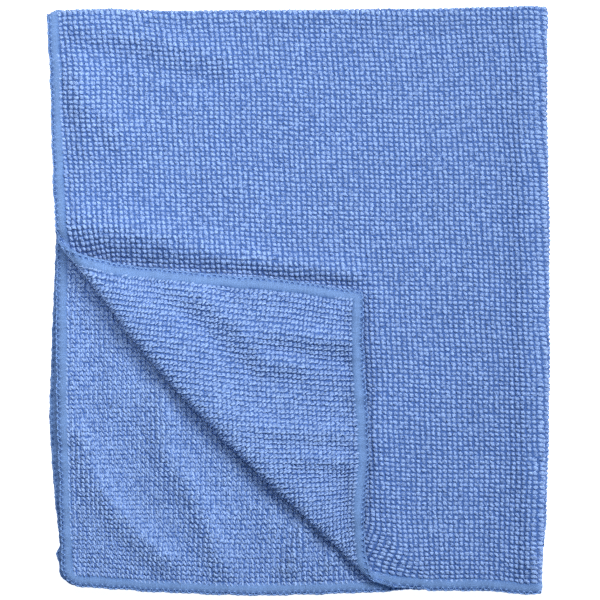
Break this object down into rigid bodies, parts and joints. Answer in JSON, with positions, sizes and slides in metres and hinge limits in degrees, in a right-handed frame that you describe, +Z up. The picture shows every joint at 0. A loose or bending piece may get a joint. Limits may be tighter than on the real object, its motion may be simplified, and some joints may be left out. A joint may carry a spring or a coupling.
{
  "type": "folded microfibre cloth",
  "caption": "Blue knitted microfibre cleaning cloth with overlocked hems, folded in quarters, one corner of the top layer turned back.",
  "frame": {"origin": "middle of the folded cloth's outline, on the surface it lies on", "axes": "+Z up, out of the surface it lies on; +Y along the longer side towards the folded top edge; +X towards the folded right edge"},
  "size_m": [0.1723, 0.2019, 0.017],
  "materials": {
    "blue_knit": "matt blue microfibre knit with rows of small slanted loops and a dense overlocked hem of the same yarn"
  },
  "bodies": {
    "root": {"cloth": "blue_knit"}
  },
  "joints": []
}
